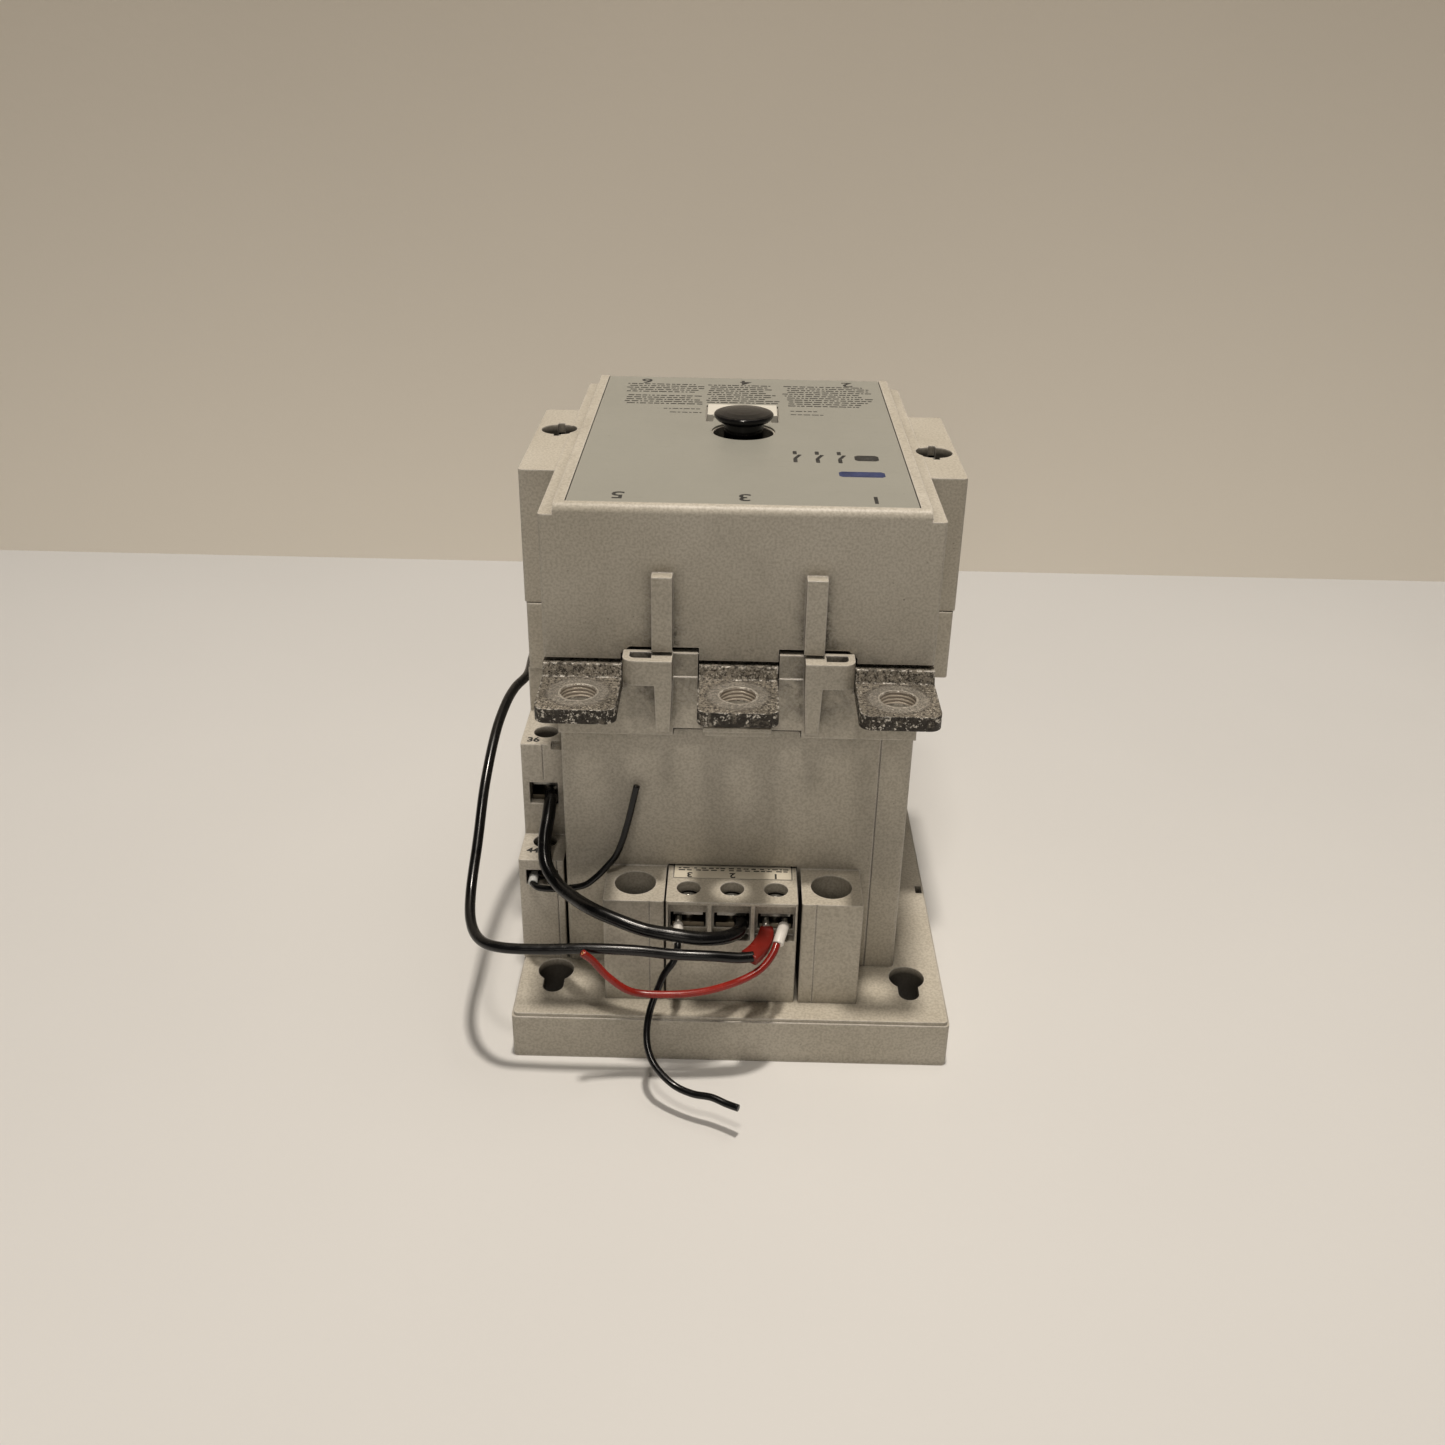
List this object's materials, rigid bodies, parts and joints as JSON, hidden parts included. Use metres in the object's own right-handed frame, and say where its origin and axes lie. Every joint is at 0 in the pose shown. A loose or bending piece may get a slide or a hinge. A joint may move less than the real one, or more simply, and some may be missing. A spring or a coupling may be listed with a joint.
{
  "type": "din rail contactor",
  "caption": "Box-shaped three-pole power contactor with bolt-on terminal bars, a lift-off arc cover, a black push indicator, a side auxiliary block and screw coil terminals.",
  "frame": {"origin": "centre line of the rail seat and of the base plate, on the plane of the base plate's underside", "axes": "+Z out of the panel towards the push indicator, -Y towards the line side terminals, which point up on a wall, +X to the right seen from the line side"},
  "size_m": [0.134, 0.2113, 0.1582],
  "materials": {
    "housing_plastic": "fine moulded grain",
    "label_print": "printed film",
    "cream_plastic": "satin",
    "strip_print": "printed film",
    "zinc_steel": "zinc plated",
    "spring_steel": "drawn wire",
    "black_plastic": "polished",
    "dark_thermoset": "moulded thermoset",
    "core_steel": "laminated and ground",
    "enamelled_copper": "enamelled wire",
    "lead_insulation": "soft sleeve",
    "contact_copper": "tarnished copper",
    "tinned_bar": "dull tin plate, pitted",
    "silver_alloy": "matt silver",
    "terminal_brass": "bright",
    "white_plastic": "satin",
    "wire_black": "glossy insulation",
    "wire_red": "glossy insulation",
    "ferrule_tin": "crimped tin"
  },
  "bodies": {
    "base": {"base_plate": "housing_plastic", "lower_housing": "housing_plastic", "contact_housing": "housing_plastic", "fixed_core": "core_steel", "coil_bobbin": "black_plastic", "coil_winding": "enamelled_copper", "coil_leads": "lead_insulation", "return_springs": "spring_steel", "line_terminal_bars": "tinned_bar", "load_terminal_bars": "tinned_bar", "fixed_contact_tips": "silver_alloy", "bar_fixing_screws": "zinc_steel", "coil_terminal_housing": "housing_plastic", "coil_marking_strip": "strip_print", "coil_terminal_plates": "terminal_brass", "aux_block_housing": "housing_plastic", "aux_terminal_plates": "terminal_brass", "aux_plunger_spring": "spring_steel", "blanking_insert": "housing_plastic", "latch_spring": "spring_steel", "tower_screws": "zinc_steel", "housing_screws": "zinc_steel", "wire_aux_to_coil": "wire_black", "wire_side_loop": "wire_black", "wire_red": "wire_red", "wire_floor": "wire_black", "wire_aux_loose": "wire_black", "wire_ferrules": "ferrule_tin"},
    "carrier": {"contact_carrier": "dark_thermoset", "mushroom_button": "black_plastic", "armature_holder": "black_plastic", "armature": "core_steel", "armature_pin": "zinc_steel", "contact_springs": "spring_steel"},
    "contact_bridge_1": {"contact_bridge_1": "contact_copper"},
    "contact_bridge_2": {"contact_bridge_2": "contact_copper"},
    "contact_bridge_3": {"contact_bridge_3": "contact_copper"},
    "cover": {"arc_chamber_cover": "housing_plastic", "label_plate": "label_print", "marking_tile": "cream_plastic", "arc_chute_plates": "zinc_steel"},
    "cover_screw_left": {"cover_screw_left": "zinc_steel"},
    "cover_screw_right": {"cover_screw_right": "zinc_steel"},
    "aux_plunger": {"aux_plunger": "white_plastic", "aux_contact_bridges": "contact_copper"},
    "rail_latch": {"rail_latch": "black_plastic"},
    "coil_clamp_1": {"coil_clamp_1": "zinc_steel"},
    "coil_screw_1": {"coil_screw_1": "zinc_steel"},
    "coil_clamp_2": {"coil_clamp_2": "zinc_steel"},
    "coil_screw_2": {"coil_screw_2": "zinc_steel"},
    "coil_clamp_3": {"coil_clamp_3": "zinc_steel"},
    "coil_screw_3": {"coil_screw_3": "zinc_steel"},
    "aux_clamp_1": {"aux_clamp_1": "zinc_steel"},
    "aux_screw_1": {"aux_screw_1": "zinc_steel"},
    "aux_clamp_2": {"aux_clamp_2": "zinc_steel"},
    "aux_screw_2": {"aux_screw_2": "zinc_steel"},
    "aux_clamp_3": {"aux_clamp_3": "zinc_steel"},
    "aux_screw_3": {"aux_screw_3": "zinc_steel"},
    "aux_clamp_4": {"aux_clamp_4": "zinc_steel"},
    "aux_screw_4": {"aux_screw_4": "zinc_steel"}
  },
  "joints": [
    {"name": "carrier_slide", "type": "slide", "parent": "base", "child": "carrier", "axis": [0, 0, -1], "range_m": [0, 0.008], "stiffness_N_per_m": 600, "springref_m": -0.004, "deforming": ["return_springs"]},
    {"name": "contact_bridge_1_slide", "type": "slide", "parent": "carrier", "child": "contact_bridge_1", "axis": [0, 0, 1], "range_m": [0, 0.0025], "deforming": ["contact_springs"]},
    {"name": "contact_bridge_2_slide", "type": "slide", "parent": "carrier", "child": "contact_bridge_2", "axis": [0, 0, 1], "range_m": [0, 0.0025]},
    {"name": "contact_bridge_3_slide", "type": "slide", "parent": "carrier", "child": "contact_bridge_3", "axis": [0, 0, 1], "range_m": [0, 0.0025]},
    {"name": "aux_plunger_slide", "type": "slide", "parent": "base", "child": "aux_plunger", "axis": [0, 0, -1], "range_m": [0, 0.008], "deforming": ["aux_plunger_spring"]},
    {"name": "cover_lift", "type": "slide", "parent": "base", "child": "cover", "axis": [0, 0, 1], "range_m": [0, 0.06]},
    {"name": "cover_screw_left_turn", "type": "hinge", "parent": "cover", "child": "cover_screw_left", "pos_m": [-0.0535, 0.0111, 0.12], "axis": [0, 0, 1], "range_deg": [0, 1800]},
    {"name": "cover_screw_right_turn", "type": "hinge", "parent": "cover", "child": "cover_screw_right", "pos_m": [0.0536, -0.0043, 0.12], "axis": [0, 0, 1], "range_deg": [0, 1800]},
    {"name": "coil_clamp_1_slide", "type": "slide", "parent": "base", "child": "coil_clamp_1", "axis": [0, 0, 1], "range_m": [0, 0.0024]},
    {"name": "coil_screw_1_turn", "type": "hinge", "parent": "coil_clamp_1", "child": "coil_screw_1", "pos_m": [-0.0121, -0.073, 0.0416], "axis": [0, 0, 1], "range_deg": [0, 1440]},
    {"name": "coil_clamp_2_slide", "type": "slide", "parent": "base", "child": "coil_clamp_2", "axis": [0, 0, 1], "range_m": [0, 0.0024]},
    {"name": "coil_screw_2_turn", "type": "hinge", "parent": "coil_clamp_2", "child": "coil_screw_2", "pos_m": [-0.0003, -0.073, 0.0416], "axis": [0, 0, 1], "range_deg": [0, 1440]},
    {"name": "coil_clamp_3_slide", "type": "slide", "parent": "base", "child": "coil_clamp_3", "axis": [0, 0, 1], "range_m": [0, 0.0024]},
    {"name": "coil_screw_3_turn", "type": "hinge", "parent": "coil_clamp_3", "child": "coil_screw_3", "pos_m": [0.0116, -0.073, 0.0416], "axis": [0, 0, 1], "range_deg": [0, 1440]},
    {"name": "aux_clamp_1_slide", "type": "slide", "parent": "base", "child": "aux_clamp_1", "axis": [0, 0, 1], "range_m": [0, 0.0018]},
    {"name": "aux_screw_1_turn", "type": "hinge", "parent": "aux_clamp_1", "child": "aux_screw_1", "pos_m": [-0.0537, -0.052, 0.0434], "axis": [0, 0, 1], "range_deg": [0, 1080]},
    {"name": "aux_clamp_2_slide", "type": "slide", "parent": "base", "child": "aux_clamp_2", "axis": [0, 0, 1], "range_m": [0, 0.0018]},
    {"name": "aux_screw_2_turn", "type": "hinge", "parent": "aux_clamp_2", "child": "aux_screw_2", "pos_m": [-0.0537, -0.0407, 0.0625], "axis": [0, 0, 1], "range_deg": [0, 1080]},
    {"name": "aux_clamp_3_slide", "type": "slide", "parent": "base", "child": "aux_clamp_3", "axis": [0, 0, 1], "range_m": [0, 0.0018]},
    {"name": "aux_screw_3_turn", "type": "hinge", "parent": "aux_clamp_3", "child": "aux_screw_3", "pos_m": [-0.0537, 0.052, 0.0434], "axis": [0, 0, 1], "range_deg": [0, 1080]},
    {"name": "aux_clamp_4_slide", "type": "slide", "parent": "base", "child": "aux_clamp_4", "axis": [0, 0, 1], "range_m": [0, 0.0018]},
    {"name": "aux_screw_4_turn", "type": "hinge", "parent": "aux_clamp_4", "child": "aux_screw_4", "pos_m": [-0.0537, 0.0407, 0.0625], "axis": [0, 0, 1], "range_deg": [0, 1080]},
    {"name": "rail_latch_slide", "type": "slide", "parent": "base", "child": "rail_latch", "axis": [0, 1, 0], "range_m": [0, 0.004], "deforming": ["latch_spring"]}
  ],
  "couplings": [
    {"joint": "contact_bridge_1_slide", "follows": "carrier_slide", "ratio": 0.3125},
    {"joint": "contact_bridge_2_slide", "follows": "carrier_slide", "ratio": 0.3125},
    {"joint": "contact_bridge_3_slide", "follows": "carrier_slide", "ratio": 0.3125},
    {"joint": "aux_plunger_slide", "follows": "carrier_slide", "ratio": 1},
    {"joint": "coil_screw_1_turn", "follows": "coil_clamp_1_slide", "rad_per_m": 10472},
    {"joint": "coil_screw_2_turn", "follows": "coil_clamp_2_slide", "rad_per_m": 10472},
    {"joint": "coil_screw_3_turn", "follows": "coil_clamp_3_slide", "rad_per_m": 10472},
    {"joint": "aux_screw_1_turn", "follows": "aux_clamp_1_slide", "rad_per_m": 10472},
    {"joint": "aux_screw_2_turn", "follows": "aux_clamp_2_slide", "rad_per_m": 10472},
    {"joint": "aux_screw_3_turn", "follows": "aux_clamp_3_slide", "rad_per_m": 10472},
    {"joint": "aux_screw_4_turn", "follows": "aux_clamp_4_slide", "rad_per_m": 10472}
  ]
}
